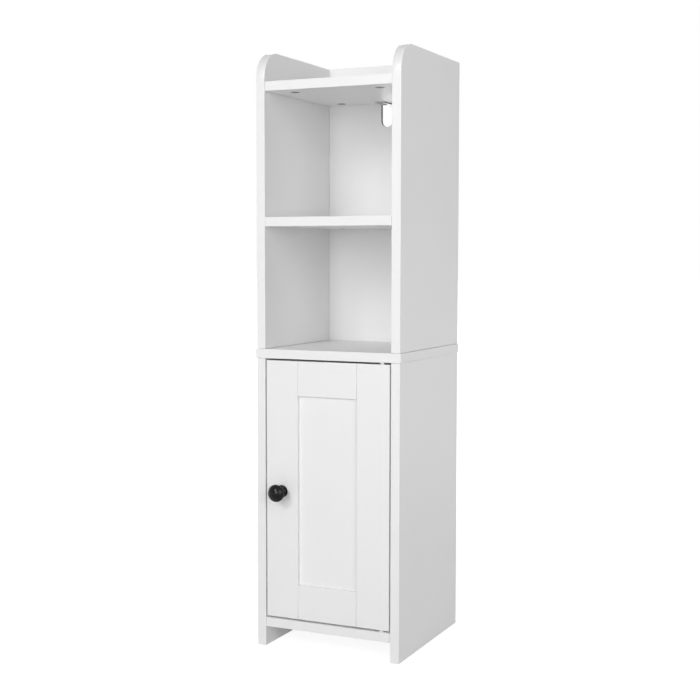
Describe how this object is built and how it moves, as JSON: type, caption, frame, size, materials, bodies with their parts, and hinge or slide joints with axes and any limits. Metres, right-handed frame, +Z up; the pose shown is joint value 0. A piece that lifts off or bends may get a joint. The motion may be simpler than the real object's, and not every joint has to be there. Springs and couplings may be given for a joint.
{
  "type": "tall bathroom cabinet",
  "caption": "Tall, narrow white bathroom cabinet: open shelves above, a cupboard with a framed pivoting door and round knob below, and a steel bracket that holds it to the wall.",
  "frame": {"origin": "on the floor, at the middle of the overall width and of the overall depth", "axes": "+Z up; the cabinet's front, with the door and knob, faces -Y; +X to the right as seen from the front"},
  "size_m": [0.253, 0.31, 0.96],
  "materials": {
    "white_board": "particleboard faced and edged with smooth satin white melamine",
    "door_board": "fibreboard with a smooth satin white foil",
    "back_board": "thin fibreboard, white faced, with raw brown edges",
    "zinc": "die-cast zinc, dull grey",
    "screw_steel": "zinc-plated steel",
    "bracket_steel": "galvanised sheet steel",
    "pin_steel": "nickel-plated turned steel",
    "white_nylon": "moulded white nylon",
    "ferrite": "pressed ferrite magnet, matt",
    "black_knob": "cast metal, satin black lacquer",
    "dowel_wood": "raw beech"
  },
  "bodies": {
    "cabinet": {"upper_left_side": "white_board", "upper_right_side": "white_board", "top_shelf": "white_board", "middle_shelf": "white_board", "mid_board": "white_board", "lower_left_side": "white_board", "lower_right_side": "white_board", "bottom_board": "white_board", "inner_shelf": "white_board", "upper_back_panel": "back_board", "lower_back_panel": "back_board", "top_shelf_cams": "zinc", "middle_shelf_cams": "zinc", "bottom_board_cams": "zinc", "lower_side_cams": "zinc", "top_shelf_cam_bolts": "screw_steel", "middle_shelf_cam_bolts": "screw_steel", "bottom_board_cam_bolts": "screw_steel", "lower_side_cam_bolts": "screw_steel", "upper_side_screws": "screw_steel", "upper_back_screws": "screw_steel", "lower_back_screws": "screw_steel", "wall_bracket_screws": "screw_steel", "catch_screws": "screw_steel", "top_shelf_dowels": "dowel_wood", "middle_shelf_dowels": "dowel_wood", "bottom_board_dowels": "dowel_wood", "lower_side_dowels": "dowel_wood", "upper_side_dowels": "dowel_wood", "wall_bracket": "bracket_steel", "catch_pole_plates": "bracket_steel", "shelf_pins": "pin_steel", "upper_pivot_bush": "white_nylon", "lower_pivot_bush": "white_nylon", "catch_housing": "white_nylon", "catch_magnet": "ferrite"},
    "door": {"door_knob_stile": "door_board", "door_hinge_stile": "door_board", "door_top_rail": "door_board", "door_bottom_rail": "door_board", "door_panel": "door_board", "knob": "black_knob", "knob_screw": "screw_steel", "upper_pivot_pin": "pin_steel", "lower_pivot_pin": "pin_steel", "strike_plate": "bracket_steel", "strike_plate_screws": "screw_steel"}
  },
  "joints": [
    {"name": "door_hinge", "type": "hinge", "parent": "cabinet", "child": "door", "pos_m": [0.09275, -0.1175, 0.259], "axis": [0, 0, 1], "range_deg": [0, 130]}
  ]
}
